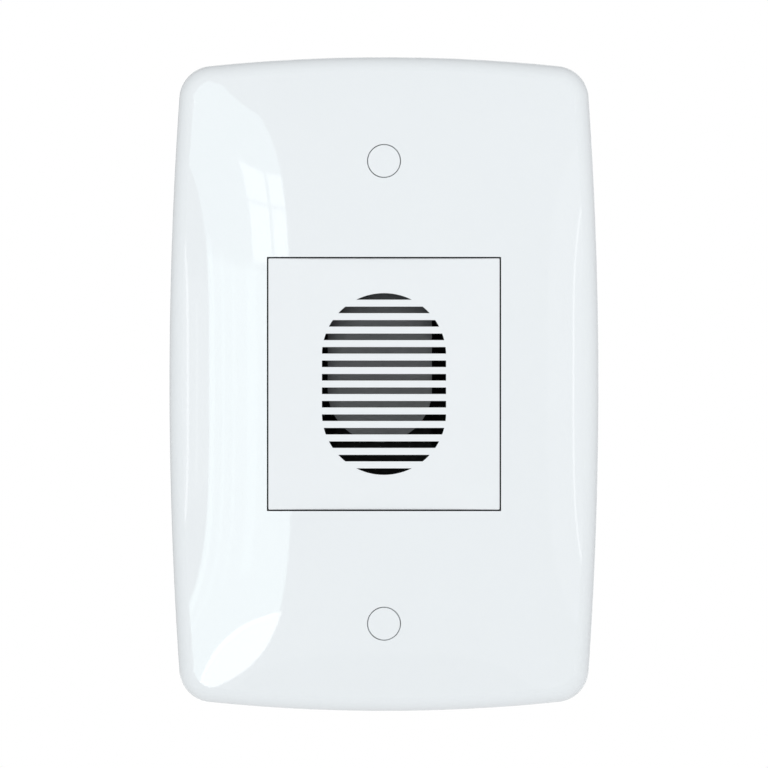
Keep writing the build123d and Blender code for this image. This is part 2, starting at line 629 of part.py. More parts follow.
# Yoke: a steel strip bent forwards over the coil and up behind the blade, with two ears
with BuildPart() as yoke:
    with BuildSketch(Plane(origin=(BLADE_ACROSS, 0, PLATE_RISE), x_dir=(0, 1, 0), z_dir=(1, 0, 0))):
        with BuildLine() as strip:
            FilletPolyline(
                (YOKE_FRONT + YOKE_THICK / 2, YOKE_BOTTOM),
                (YOKE_FRONT + YOKE_THICK / 2, ARM_MIDDLE),
                (LIP_FRONT + YOKE_THICK / 2, ARM_MIDDLE),
                (LIP_FRONT + YOKE_THICK / 2, LIP_TOP),
                radius=YOKE_BEND,
            )
        trace(line_width=YOKE_THICK)
    extrude(amount=YOKE_WIDTH / 2, both=True)
    with BuildSketch(room_plane(YOKE_BACK, PLATE_RISE)):
        with Locations((BLADE_ACROSS, EAR_RISE)):
            SlotOverall(2 * EAR_SPREAD + EAR_HEIGHT, EAR_HEIGHT)
    extrude(amount=YOKE_THICK)
    with BuildSketch(room_plane(YOKE_BACK, PLATE_RISE)):
        with Locations(*EAR_SPOTS):
            Circle(YOKE_SHANK_RADIUS + THREAD_GAP)
        with Locations((BLADE_ACROSS, COIL_RISE)):
            Circle(CORE_SPIGOT_RADIUS + THREAD_GAP)
    extrude(amount=YOKE_THICK, mode=Mode.SUBTRACT)
    with BuildSketch(room_plane(LIP_FRONT + YOKE_THICK, PLATE_RISE)):
        with Locations(*clamp_spots):
            Circle(CLAMP_SHANK_RADIUS + THREAD_GAP)
    extrude(amount=YOKE_THICK, mode=Mode.SUBTRACT)

with BuildPart() as isolating_pads:
    with BuildSketch(room_plane(POST_FRONT, PLATE_RISE)):
        with Locations(*EAR_SPOTS):
            Circle(EAR_HEIGHT / 2)
            Circle(YOKE_SHANK_RADIUS + SHANK_GAP, mode=Mode.SUBTRACT)
    extrude(amount=PAD_THICK)

yoke_screws = screws(
    wall_plane(YOKE_SEAT, PLATE_RISE),
    [(-across, rise) for across, rise in EAR_SPOTS],
    YOKE_HEAD_RADIUS,
    YOKE_HEAD_HEIGHT,
    YOKE_SHANK_RADIUS,
    YOKE_SEAT - YOKE_FRONT + YOKE_SCREW_PROUD,
    cross=True,
)

# Core: a soft iron pin riveted through the yoke
with BuildPart() as core:
    with BuildSketch(room_plane(YOKE_FRONT, PLATE_RISE + COIL_RISE, BLADE_ACROSS)):
        Circle(CORE_RADIUS)
    extrude(amount=YOKE_FRONT - POLE_FACE)
    with BuildSketch(wall_plane(YOKE_FRONT, PLATE_RISE + COIL_RISE, BLADE_ACROSS)):
        Circle(CORE_SPIGOT_RADIUS)
    extrude(amount=YOKE_THICK)
    with BuildSketch(wall_plane(YOKE_BACK, PLATE_RISE + COIL_RISE, BLADE_ACROSS)):
        Circle(CORE_RIVET_RADIUS)
    extrude(amount=CORE_RIVET_HEIGHT)
    chamfer(core.faces().sort_by(Axis.Y)[-1].edges(), CORE_RIVET_HEIGHT / 2)

barrel_radius = CORE_RADIUS + THREAD_GAP + BOBBIN_WALL
with BuildPart() as bobbin:
    with BuildSketch(room_plane(BOBBIN_BACK, PLATE_RISE + COIL_RISE, BLADE_ACROSS)):
        Circle(barrel_radius)
    extrude(amount=BOBBIN_BACK - BOBBIN_FRONT)
    for depth in (WINDING_FRONT, BOBBIN_BACK):
        with BuildSketch(room_plane(depth, PLATE_RISE + COIL_RISE, BLADE_ACROSS)):
            Circle(BOBBIN_RADIUS)
        extrude(amount=BOBBIN_FLANGE)
    with BuildSketch(room_plane(BOBBIN_BACK, PLATE_RISE + COIL_RISE, BLADE_ACROSS)):
        Circle(CORE_RADIUS + THREAD_GAP)
    extrude(amount=BOBBIN_BACK - BOBBIN_FRONT, mode=Mode.SUBTRACT)


def sleeve(inner_radius, outer_radius):
    """Sleeve round the coil's axis, between the bobbin's flanges."""
    with BuildPart() as body:
        with BuildSketch(room_plane(WINDING_BACK - SEAT_GAP, PLATE_RISE + COIL_RISE, BLADE_ACROSS)):
            Circle(outer_radius)
            Circle(inner_radius, mode=Mode.SUBTRACT)
        extrude(amount=WINDING_BACK - WINDING_FRONT - 2 * SEAT_GAP)
    return body


coil_winding = sleeve(barrel_radius + SEAT_GAP, WINDING_RADIUS)
tape_radius = WINDING_RADIUS + SEAT_GAP + TAPE_THICK
coil_tape = sleeve(WINDING_RADIUS + SEAT_GAP, tape_radius)

# Terminal block: two cells open to the rear, each with a wire entry from below, and a guard wall
# that stands in front of the solder tabs and is hollowed to clear the coil
cell_spots = [(-CELL_SPREAD, CELL_MIDDLE), (CELL_SPREAD, CELL_MIDDLE)]
with BuildPart() as terminal_block:
    with BuildSketch(wall_plane(BLOCK_FRONT, PLATE_RISE)):
        with Locations((0, BLOCK_MIDDLE)):
            Rectangle(BLOCK_WIDTH, BLOCK_HEIGHT)
    extrude(amount=CASE_REACH - BLOCK_FRONT)
    with BuildSketch(room_plane(CASE_REACH, PLATE_RISE)):
        with Locations((0, -BLOCK_TOP)):
            Rectangle(BLOCK_WIDTH, 2 * BLOCK_STEP + 2 * BLOCK_GAP)
    extrude(amount=CASE_REAR + BLOCK_GAP, mode=Mode.SUBTRACT)
    with BuildSketch(wall_plane(CELL_FRONT, PLATE_RISE)):
        with Locations(*cell_spots):
            Rectangle(CELL_WIDTH, CELL_HEIGHT)
    extrude(amount=CELL_DEPTH, mode=Mode.SUBTRACT)
    with BuildSketch(wall_plane(CELL_FRONT, PLATE_RISE)):
        with GridLocations(2 * CELL_SPREAD, 0, 2, 1):
            with Locations((0, CELL_MIDDLE + CELL_HEIGHT / 2 + CELL_ROOF / 2)):
                Rectangle(TAB_WIDTH + 2 * TERMINAL_INSET, CELL_ROOF)
    extrude(amount=TERMINAL_THICK + TERMINAL_INSET, mode=Mode.SUBTRACT)
    with BuildSketch(room_plane(CELL_FRONT, PLATE_RISE)):
        with Locations(*cell_spots):
            Circle(TERMINAL_SHANK_RADIUS + SHANK_GAP)
    extrude(amount=SCREW_RELIEF_DEPTH, mode=Mode.SUBTRACT)
    with BuildSketch(Plane.XY.offset(PLATE_RISE - BLOCK_BOTTOM)):
        with Locations((-CELL_SPREAD, WIRE_DEPTH), (CELL_SPREAD, WIRE_DEPTH)):
            Circle(WIRE_ENTRY_RADIUS)
    extrude(amount=CELL_FLOOR, mode=Mode.SUBTRACT)
    with BuildSketch(wall_plane(BLOCK_FRONT, PLATE_RISE)):
        with Locations((0, GUARD_HEIGHT / 2 - BLOCK_TOP)):
            Rectangle(2 * (CELL_SPREAD + GUARD_MARGIN) + TAB_WIDTH, GUARD_HEIGHT)
        with Locations((-BLADE_ACROSS, COIL_RISE)):
            Circle(tape_radius + GUARD_GAP, mode=Mode.SUBTRACT)
    extrude(amount=GUARD_THICK)

# Each terminal: brass plate with a solder tab, clamp plate, screw, and the coil's lead to the tab
for side, across in (("left", -CELL_SPREAD), ("right", CELL_SPREAD)):
    cell_rise = PLATE_RISE + CELL_MIDDLE
    with BuildPart() as terminal:
        with BuildSketch(wall_plane(CELL_FRONT, cell_rise, across)):
            Rectangle(CELL_WIDTH - 2 * TERMINAL_INSET, CELL_HEIGHT - 2 * TERMINAL_INSET)
            with Locations((0, (CELL_HEIGHT / 2 + CELL_ROOF + TAB_PROUD) / 2)):
                Rectangle(TAB_WIDTH, CELL_HEIGHT / 2 + CELL_ROOF + TAB_PROUD)
            Circle(TERMINAL_SHANK_RADIUS + THREAD_GAP, mode=Mode.SUBTRACT)
        extrude(amount=TERMINAL_THICK)
    terminal.part.label = f"terminal_{side}"
    export_step(terminal.part, f"parts/terminal_{side}.step")

    with BuildPart() as clamp_plate:
        with BuildSketch(wall_plane(CLAMP_PLATE_FRONT, cell_rise, across)):
            Rectangle(CELL_WIDTH - 2 * CLAMP_PLATE_INSET, CELL_HEIGHT - 2 * CLAMP_PLATE_INSET)
            Circle(TERMINAL_SHANK_RADIUS + SHANK_GAP / 2, mode=Mode.SUBTRACT)
        extrude(amount=CLAMP_PLATE_THICK)
    clamp_plate.part.label = f"clamp_plate_{side}"
    export_step(clamp_plate.part, f"parts/clamp_plate_{side}.step")

    terminal_screw = screws(
        wall_plane(TERMINAL_SEAT, cell_rise, across),
        [(0, 0)],
        TERMINAL_HEAD_RADIUS,
        TERMINAL_HEAD_HEIGHT,
        TERMINAL_SHANK_RADIUS,
        TERMINAL_SEAT - CELL_FRONT + TERMINAL_SCREW_PROUD,
    )
    terminal_screw.part.label = f"terminal_screw_{side}"
    export_step(terminal_screw.part, f"parts/terminal_screw_{side}.step")

    # The lead drops from the coil's side and turns back to the solder tab
    lead_depth = CELL_FRONT - LEAD_RUN
    near_side = abs(across - BLADE_ACROSS) - LEAD_RADIUS
    lead_top = PLATE_RISE + COIL_RISE - math.sqrt(tape_radius**2 - near_side**2) - SEAT_GAP
    lead_turn = PLATE_RISE - TAB_TOP - TAB_PROUD / 2
    with BuildPart() as lead:
        with BuildLine() as route:
            FilletPolyline(
                (across, lead_depth, lead_top),
                (across, lead_depth, lead_turn),
                (across, CELL_FRONT, lead_turn),
                radius=LEAD_BEND,
            )
        with BuildSketch(Plane.XY.offset(lead_top)):
            with Locations((across, lead_depth)):
                Circle(LEAD_RADIUS)
        sweep(path=route.line)
    lead.part.label = f"lead_{side}"
    export_step(lead.part, f"parts/lead_{side}.step")

single_pieces = {
    "cover_plate": cover_plate,
    "mounting_screws": mounting_screws,
    "support_frame": support_frame,
    "grille_front": grille_front,
    "sounder_case": sounder_case,
    "case_screws": case_screws,
    "vibrating_blade": vibrating_blade,
    "armature_disc": armature_disc,
    "blade_clamp": blade_clamp,
    "clamp_screws": clamp_screws,
    "yoke": yoke,
    "isolating_pads": isolating_pads,
    "yoke_screws": yoke_screws,
    "core": core,
    "bobbin": bobbin,
    "coil_winding": coil_winding,
    "coil_tape": coil_tape,
    "terminal_block": terminal_block,
}
for name, piece in single_pieces.items():
    piece.part.label = name
    export_step(piece.part, f"parts/{name}.step")
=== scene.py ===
import json
import math

import bmesh
import bpy
import numpy as np
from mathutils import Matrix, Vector


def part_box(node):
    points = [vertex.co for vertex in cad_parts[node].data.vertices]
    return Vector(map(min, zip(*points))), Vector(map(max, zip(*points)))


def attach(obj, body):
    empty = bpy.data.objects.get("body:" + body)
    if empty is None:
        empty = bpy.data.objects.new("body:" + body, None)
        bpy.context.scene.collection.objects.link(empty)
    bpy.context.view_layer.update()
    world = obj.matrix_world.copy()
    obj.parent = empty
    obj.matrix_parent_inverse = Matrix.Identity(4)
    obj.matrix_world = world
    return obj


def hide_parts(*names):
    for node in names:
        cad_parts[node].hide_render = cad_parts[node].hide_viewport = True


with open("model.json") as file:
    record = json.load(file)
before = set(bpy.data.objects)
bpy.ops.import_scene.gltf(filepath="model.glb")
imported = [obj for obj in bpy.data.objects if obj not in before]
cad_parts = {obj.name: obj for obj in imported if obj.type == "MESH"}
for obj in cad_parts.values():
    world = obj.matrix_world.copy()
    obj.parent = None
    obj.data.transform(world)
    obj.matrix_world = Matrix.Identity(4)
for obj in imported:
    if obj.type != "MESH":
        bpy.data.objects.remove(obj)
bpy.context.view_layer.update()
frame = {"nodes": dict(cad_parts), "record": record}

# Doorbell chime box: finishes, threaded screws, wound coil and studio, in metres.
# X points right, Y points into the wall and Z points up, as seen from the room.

MM = 0.001
nodes = frame["nodes"]

# Picture: its width at the plate, how far the long lens stands off, and how far it sees
PICTURE_WIDTH = 138.6 * MM
CAMERA_DISTANCE = 3.0
CAMERA_REACH = 50.0
SENSOR_WIDTH = 36.0

# Light from the side of the room, and how much more comes from the front and less from above
SIDE_LIGHT = 0.7
FRONT_RISE = 0.26
UPWARD_FALL = 0.15

# Lamps: how far off the mirrored ones stand, the size of the fills, and their tints
LAMP_DISTANCE = 5.0
FILL_SIZE = (2.4, 2.4)
NEUTRAL = (1.0, 1.0, 1.0)
COOL = (0.8, 1.0, 0.98)
COOLER = (0.77, 1.0, 1.0)

# Window that the dome mirrors, in degrees: the columns and rows of its bright panes; then each post's two sides,
# its top and its radiance; then the bottom of the posts
PANE_COLUMNS = ((-11.0, -8.15), (-7.75, -6.0))
PANE_ROWS = ((1.7, 4.3), (4.5, 6.8))
POSTS = (((-19.3, -18.4), 1.9, 0.7), ((-16.9, -16.3), 1.7, 0.5), ((-14.9, -14.3), 1.6, 0.4),
         ((-12.2, -10.6), 1.7, 0.5))
POST_BOTTOM = -4.6

# Floor: how far it lies below the plate, its edges along X and Y, its glow, and the share that lights the plate
FLOOR_DROP = 0.25
FLOOR_X = (-3, 3)
FLOOR_Y = (-1, 3)
FLOOR_GLOW = 0.46
FLOOR_SHARE = 0.22

# Plate's dome: half its width and height, and its crown over the rim
PLATE_HALF = (38.7 * MM, 58.95 * MM)
CROWN = 3.2 * MM

# The dome's formula takes over from the mesh's normals: cosine between the two where that starts, and its gain
DOME_START = 0.998
DOME_GAIN = 600

# Plate's window, from its middle to its walls; the seam round the insert, and the margin of the painted shade in
# it
WINDOW_HALF = (21.05 * MM, 22.85 * MM)
SEAM = 0.2 * MM
SEAM_SHADE_MARGIN = 0.03 * MM

# Grille's oval of slots, from its middle; the share of it where the painted shade on the blade starts, and its
# gain
GRILLE_HALF = (11.2 * MM, 16.5 * MM)
PAINTED_SHADE_START = 0.7
PAINTED_SHADE_GAIN = 3.3

# Threads: depth in pitches, rows of points per pitch, points per turn, and the gain and the foot that flatten the
# triangle wave's crest and root; the tip's length in shank radii, and its slope
THREAD_DEPTH = 0.54
THREAD_ROWS = 9
THREAD_COLUMNS = 40
CREST_GAIN = 1.25
ROOT_FOOT = 0.1
TIP_LENGTH = 0.4
TIP_SLOPE = math.radians(30)

# Coil: the wire's diameter, the barrel's radius, rows of points per turn of wire, and points round the coil
WIRE = 0.24 * MM
BARREL_RADIUS = 4.58 * MM
COIL_ROWS = 6
COIL_COLUMNS = 72

# Edges of new pieces that turn by more than this stay sharp
SHARP_EDGE = math.radians(24)


# Shading

class Sum:
    """A shader socket that takes part in Python sums: each operator adds one Math node to its tree."""

    def __init__(self, shading, socket):
        self.shading, self.socket = shading, socket

    def _math(self, operation, first, second=0.0):
        return self.shading.node("ShaderNodeMath", {"operation": operation}, {0: first, 1: second})

    def __add__(self, other):
        return self._math("ADD", self, other)

    def __radd__(self, other):
        return self._math("ADD", other, self)

    def __sub__(self, other):
        return self._math("SUBTRACT", self, other)

    def __rsub__(self, other):
        return self._math("SUBTRACT", other, self)

    def __mul__(self, other):
        return self._math("MULTIPLY", self, other)

    def __rmul__(self, other):
        return self._math("MULTIPLY", other, self)

    def __pow__(self, other):
        return self._math("POWER", self, other)

    def above(self, level):
        """1 where this is over the level, else 0."""
        return self._math("GREATER_THAN", self, level)

    def greater(self, other):
        """The greater of the two."""
        return self._math("MAXIMUM", self, other)

    def size(self):
        """The value without its sign."""
        return self._math("ABSOLUTE", self)

    def wave(self):
        """Its sine."""
        return self._math("SINE", self)

    def share(self):
        """Kept between 0 and 1."""
        return self.shading.node("ShaderNodeClamp", {}, {"Value": self})


class Shading:
    """A node tree that is filled by one method."""

    def __init__(self, tree):
        self.tree = tree

    def node(self, kind, settings, inputs, output=0):
        """Adds a node: settings come first, then each input gets its value or link; returns one output."""
        node = self.tree.nodes.new(kind)
        for name, setting in settings.items():
            setattr(node, name, setting)
        for name, value in inputs.items():
            if isinstance(value, Sum):
                self.tree.links.new(value.socket, node.inputs[name])
            else:
                node.inputs[name].default_value = value
        return Sum(self, node.outputs[output])


class Finish(Shading):
    """One material: its surface shader, and patterns laid out in metres on the piece."""

    def __init__(self, name, **constants):
        self.material = bpy.data.materials.new(name)
        self.material.use_nodes = True
        super().__init__(self.material.node_tree)
        self.shader = self.tree.nodes["Principled BSDF"]
        for words, constant in constants.items():
            self.shader.inputs[words.replace("_", " ")].default_value = constant
        self.place = self.node("ShaderNodeTexCoord", {}, {}, "Object")

    def spread(self, x=1.0, y=1.0, z=1.0):
        """Places on the piece with each axis scaled: a small scale draws a pattern out along that axis."""
        return self.node("ShaderNodeMapping", {}, {"Vector": self.place, "Scale": (x, y, z)})

    def noise(self, per_metre, detail, place=None):
        """Soft random pattern from 0 to 1 with so many patches per metre."""
        inputs = {"Vector": place or self.place, "Scale": per_metre, "Detail": detail}
        return self.node("ShaderNodeTexNoise", {}, inputs)

    def specks(self, per_metre, radius):
        """Mask of scattered round specks: 1 inside a speck, whose radius is a share of their pitch."""
        inputs = {"Vector": self.place, "Scale": per_metre}
        return 1 - self.node("ShaderNodeTexVoronoi", {}, inputs, "Distance").above(radius)

    def axis(self, letter):
        """One coordinate of the place, in metres."""
        return self.node("ShaderNodeSeparateXYZ", {}, {"Vector": self.place}, letter)

    def blend(self, share, first, second):
        """Colour between two colours, by a share from 0 to 1."""
        return self.node("ShaderNodeMix", {"data_type": "RGBA"}, {0: share, 6: first, 7: second}, 2)

    def dome_normal(self):
        """Normal of the plate's dome, which stands crown × (1 - |side|³) × (1 - up⁴) over the rim, so its slopes
        are 3 × crown × side × |side| × (1 - up⁴) / half width and 4 × crown × up³ × (1 - |side|³) / half height.
        It takes over where the mesh's own normal is within a few degrees of it: so the mesh's facets don't show
        in the gloss, and the rolled rim, the bores and the walls keep their own normals."""
        side = self.axis("X") * (1 / PLATE_HALF[0])
        up = (self.axis("Z") - plate_middle.z) * (1 / PLATE_HALF[1])
        across = side * side.size() * (1 - up * up * up * up) * (3 * CROWN / PLATE_HALF[0])
        along = up * up * up * (1 - side.size() ** 3) * (4 * CROWN / PLATE_HALF[1])
        slopes = self.node("ShaderNodeCombineXYZ", {}, {"X": across, "Y": -1.0, "Z": along})
        smooth = self.node("ShaderNodeVectorMath", {"operation": "NORMALIZE"}, {0: slopes})
        meshed = self.node("ShaderNodeNewGeometry", {}, {}, "Normal")
        near = self.node("ShaderNodeVectorMath", {"operation": "DOT_PRODUCT"}, {0: smooth, 1: meshed}, "Value")
        share = ((near - DOME_START) * DOME_GAIN).share()
        return self.node("ShaderNodeMix", {"data_type": "VECTOR"}, {0: share, 4: meshed, 5: smooth}, 1)

    def relief(self, height, depth, under=None):
        """Bump of a height from 0 to 1 over so many metres, on top of another bump or normal."""
        inputs = {"Height": height, "Distance": depth, "Strength": 1.0}
        if under:
            inputs["Normal"] = under
        return self.node("ShaderNodeBump", {}, inputs)

    def feed(self, **varying):
        """Links varying values into the surface shader; returns the material."""
        for words, value in varying.items():
            self.tree.links.new(value.socket, self.shader.inputs[words.replace("_", " ")])
        return self.material


def colour(red, green, blue):
    """Linear colour from the values that a colour picker shows, from 0 to 255."""
    shares = np.array([red, green, blue]) / 255
    linear = np.where(shares <= 0.04045, shares / 12.92, ((shares + 0.055) / 1.055) ** 2.4)
    return (*linear.tolist(), 1.0)


# Finishes of the plastics

def moulded_white(name, low, high, gloss, orange_peel, waviness, domed=False):
    """Moulded white plastic: faint flow tones, a film of handling on the gloss, orange peel over long moulding
    waves, and painted shade: the walls of the seam round the insert are painted dark grey for the shade in that
    gap. A domed one is the plate's, with the normals of its dome under the waves."""
    finish = Finish(name)
    tone = finish.noise(90, 3) * 0.5 + finish.noise(22, 2, finish.spread(1, 1, 0.3)) * 0.5
    across = finish.axis("X").size() - WINDOW_HALF[0]
    along = (finish.axis("Z") - plate_middle.z).size() - WINDOW_HALF[1]
    past_wall = across.greater(along)
    in_seam = past_wall.above(-SEAM - SEAM_SHADE_MARGIN) * (1 - past_wall.above(SEAM_SHADE_MARGIN))
    # Painted shade: the walls of the seam round the insert are painted dark grey for the shade in that gap
    unshaded_tone, seam_shade = finish.blend(tone, low, high), colour(60, 60, 62)
    film_and_painted_shade = gloss + finish.noise(160, 4) * 0.5 * gloss + finish.specks(700, 0.08) * 0.06
    dome = finish.dome_normal() if domed else None
    waves = finish.relief(finish.noise(60, 1, finish.spread(1, 1, 0.25)), waviness, dome)
    return finish.feed(
        Base_Color=finish.blend(in_seam, unshaded_tone, seam_shade),
        Roughness=film_and_painted_shade + 0.5 * in_seam,
        Normal=finish.relief(finish.noise(1600, 2), orange_peel, waves),
    )


def sparked_plastic(name, low, high, roughness, grain):
    """Matt moulded plastic: spark-eroded grain, slow flow tones and a little dust in the grain."""
    finish = Finish(name, Specular_IOR_Level=0.3)
    pits = finish.noise(2600, 3)
    return finish.feed(
        Base_Color=finish.blend(finish.noise(45, 3) * pits, low, high),
        Roughness=roughness + 0.15 * finish.noise(300, 2) - 0.1 * pits,
        Normal=finish.relief(pits, grain),
    )


def rubber_pad():
    """Moulded rubber: bloom in patches over a fine skin."""
    finish = Finish("pad_rubber_finish")
    bloom = finish.noise(500, 4)
    return finish.feed(
        Base_Color=finish.blend(bloom, colour(22, 22, 23), colour(46, 46, 48)),
        Roughness=0.62 + 0.25 * bloom,
        Normal=finish.relief(finish.noise(5200, 2), 0.02 * MM),
    )


def lead_insulation():
    """Red wire insulation: drawn along its length, with scuffs that dull it."""
    finish = Finish("lead_red_finish")
    scuffs = finish.noise(1500, 3, finish.spread(1, 1, 0.15))
    return finish.feed(
        Base_Color=finish.blend(scuffs, colour(150, 22, 18), colour(196, 40, 30)),
        Roughness=0.3 + 0.3 * scuffs,
        Normal=finish.relief(scuffs, 0.01 * MM),
    )


def coil_tape_film():
    """Yellow polyester tape: clear gloss over glue that has wetted out in patches, and the edges of its laps."""
    finish = Finish("tape_yellow_finish", Coat_Weight=0.6, Coat_Roughness=0.08)
    glue = finish.noise(900, 4)
    lap_pitch = 3.2 * MM
    laps = (finish.axis("Y") * (2 * math.pi / lap_pitch)).wave().above(0.96)
    return finish.feed(
        Base_Color=finish.blend(glue, colour(196, 150, 34), colour(226, 186, 66)),
        Roughness=0.22 + 0.2 * glue,
        Normal=finish.relief(laps, 0.03 * MM),
    )


# Finishes of the metals

def plated_steel(name, low, high, roughness):
    """Plated steel: a film that shifts in tone by patches, fine tumbling marks and dull spots."""
    finish = Finish(name, Metallic=1.0)
    tumbled = finish.noise(3800, 2)
    return finish.feed(
        Base_Color=finish.blend(finish.noise(420, 3), low, high),
        Roughness=roughness + 0.16 * tumbled + 0.12 * finish.specks(1500, 0.16),
        Normal=finish.relief(tumbled, 0.006 * MM),
    )


def rolled_steel(name, low, high, roughness, metallic, film_and_painted_shade=None):
    """Rolled steel strip: fine lines up and down it, slow stains and pinhead spots. Where it is given a shade
    colour, painted shade darkens it towards the outline of the grille's slots, standing in for the shadow that the
    grille casts on the blade."""
    finish = Finish(name, Metallic=metallic)
    lines = finish.noise(5200, 3, finish.spread(1, 1, 0.04))
    tone = finish.blend(finish.noise(160, 4) * 0.7 + lines * 0.3, low, high)
    # Painted shade: darker towards the outline of the grille's slots, for the grille's shadow on the blade
    if film_and_painted_shade:
        side = finish.axis("X").size() * (1 / GRILLE_HALF[0])
        up = (finish.axis("Z") - plate_middle.z).size() * (1 / GRILLE_HALF[1])
        outwards = (side ** 3 + up ** 3) ** (1 / 3)
        tone = finish.blend(((outwards - PAINTED_SHADE_START) * PAINTED_SHADE_GAIN).share(), tone, film_and_painted_shade)
    return finish.feed(
        Base_Color=tone,
        Roughness=roughness + 0.12 * lines + 0.1 * finish.specks(900, 0.12),
        Normal=finish.relief(lines, 0.004 * MM),
    )


def turned_iron(across, rise):
    """Soft iron turned in a lathe: fine rings round the coil's axis, with a grey oxide tone."""
    finish = Finish("core_iron_finish", Metallic=0.95)
    side, up = finish.axis("X") - across, finish.axis("Z") - rise
    ring_pitch = 0.22 * MM
    rings = (((side * side + up * up) ** 0.5) * (2 * math.pi / ring_pitch)).wave() * 0.5 + 0.5
    oxide = finish.noise(700, 4)
    return finish.feed(
        Base_Color=finish.blend(oxide, colour(118, 117, 116), colour(158, 157, 154)),
        Roughness=0.34 + 0.1 * rings + 0.12 * oxide,
        Normal=finish.relief(rings, 0.008 * MM),
    )


def stamped_brass():
    """Stamped brass: drawing lines, warm tarnish in patches and brighter metal where it has been rubbed."""
    finish = Finish("terminal_brass_finish", Metallic=1.0)
    tarnish = finish.noise(380, 4)
    lines = finish.noise(4200, 2, finish.spread(0.05, 1, 1))
    return finish.feed(
        Base_Color=finish.blend(tarnish, colour(214, 178, 98), colour(176, 132, 66)),
        Roughness=0.22 + 0.2 * tarnish + 0.08 * lines,
        Normal=finish.relief(lines, 0.005 * MM),
    )


def enamelled_wire():
    """Copper wire under clear enamel: each turn a little lighter or darker than the next."""
    finish = Finish("winding_copper_finish", Metallic=1.0, Coat_Weight=0.8, Coat_Roughness=0.12)
    turns = finish.noise(3600, 1, finish.spread(0.02, 1, 0.02))
    return finish.feed(
        Base_Color=finish.blend(turns, colour(150, 66, 34), colour(204, 108, 62)),
        Roughness=0.26 + 0.14 * finish.noise(900, 3),
        Normal=finish.relief(finish.noise(5200, 2), 0.004 * MM),
    )


# Pieces worked out as whole arrays

def grid_mesh(name, points, close_ends):
    """Mesh from a grid of points (along, round, xyz). The last column joins the first; close_ends puts a fan of
    triangles from the first and the last row to their middle points."""
    rows, columns = points.shape[:2]
    index = np.arange(rows * columns).reshape(rows, columns)
    index = np.concatenate([index, index[:, :1]], axis=1)
    quads = np.stack([index[:-1, :-1], index[:-1, 1:], index[1:, 1:], index[1:, :-1]], axis=-1)
    faces = quads.reshape(-1, 4).tolist()
    vertices = points.reshape(-1, 3)
    if close_ends:
        first, last = len(vertices), len(vertices) + 1
        vertices = np.concatenate([vertices, points[:1].mean(axis=1), points[-1:].mean(axis=1)])
        before, after = index[[0, -1], :-1], index[[0, -1], 1:]
        faces += np.stack([np.full(columns, first), after[0], before[0]], axis=-1).tolist()
        faces += np.stack([np.full(columns, last), before[1], after[1]], axis=-1).tolist()
    mesh = bpy.data.meshes.new(name)
    mesh.from_pydata(vertices.tolist(), [], faces)
    mesh.update()
    return mesh


def turned_grid(radii, depths, heading, columns):
    """Grid of a surface turned round the Y axis. Each point stands at its radius from the axis, on an angle that
    goes once round, and at its depth along the axis; heading 1 or -1 is the way along Y, and the angle runs so
    that the faces look outwards."""
    angles = -heading * np.linspace(0, 2 * math.pi, columns, endpoint=False)
    radii, depths = np.broadcast_arrays(radii, depths[:, None])
    return np.stack([radii * np.cos(angles), heading * depths, radii * np.sin(angles)], axis=-1)


def stand_piece(name, mesh, slot_name, body, replaced):
    """Puts a mesh in the scene with its slot's finish, on its body, in place of its CAD node."""
    mesh.shade_smooth()
    mesh.set_sharp_from_angle(angle=SHARP_EDGE)
    piece = bpy.data.objects.new(name, mesh)
    bpy.context.scene.collection.objects.link(piece)
    mesh.materials.append(finishes[slot_name])
    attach(piece, body)
    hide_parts(replaced)


def threaded_screws(name, slot_name, body, heading, head_radius, head_height, shank_radius, pitch, neck=None):
    """Screws of one node with real threads. The heads are the CAD node's own, cut off under the seat. Below them
    the radius follows a helix: root + thread depth × a triangle wave of (way down / pitch - share of a turn),
    which grows from nothing over one pitch, dies out before the tip and leaves a plain neck where there is one."""
    low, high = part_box(name)
    seat = low.y + head_height if heading > 0 else high.y - head_height
    length = high.y - low.y - head_height
    tip, thread_depth, inside_head = TIP_LENGTH * shank_radius, THREAD_DEPTH * pitch, -0.1 * MM
    neck_radius, neck_length = neck or (shank_radius - thread_depth, 0.0)
    down = np.concatenate([[inside_head], np.arange(0, length - tip, pitch / THREAD_ROWS), [length - tip, length]])
    turn = np.linspace(0, 1, THREAD_COLUMNS, endpoint=False)
    share = np.mod(down[:, None] / pitch - turn, 1)
    ridge = np.clip(CREST_GAIN * (1 - np.abs(2 * share - 1)) - ROOT_FOOT, 0, 1)
    grown = np.clip((down - neck_length) / pitch, 0, 1) * np.clip((length - tip - down) / pitch, 0, 1)
    core = np.where(down < neck_length, neck_radius, shank_radius - thread_depth)
    core[-1] -= tip * math.tan(TIP_SLOPE)
    screw = turned_grid(core[:, None] + thread_depth * ridge * grown[:, None], down, heading, THREAD_COLUMNS)

    shape = bmesh.new()
    shape.from_mesh(nodes[name].data)
    bmesh.ops.remove_doubles(shape, verts=shape.verts, dist=0.001 * MM)
    every = shape.verts[:] + shape.edges[:] + shape.faces[:]
    just_under_seat = (0, seat + heading * 0.01 * MM, 0)
    bmesh.ops.bisect_plane(shape, geom=every, plane_co=just_under_seat, plane_no=(0, heading, 0), clear_outer=True)
    bmesh.ops.holes_fill(shape, edges=[edge for edge in shape.edges if edge.is_boundary])

    # One thread under each head, at the corners of the node's box; a set drops corners that fall together
    for across in sorted({round(low.x + head_radius, 6), round(high.x - head_radius, 6)}):
        for rise in sorted({round(low.z + head_radius, 6), round(high.z - head_radius, 6)}):
            shape.from_mesh(grid_mesh("thread", screw + np.array([across, seat, rise]), True))
    mesh = bpy.data.meshes.new(name + "_threaded")
    shape.to_mesh(mesh)
    shape.free()

    # The CAD's normals came along with the heads, and would shade the tips as balls
    mesh.attributes.remove(mesh.attributes["custom_normal"])
    stand_piece(name + "_threaded", mesh, slot_name, body, name)


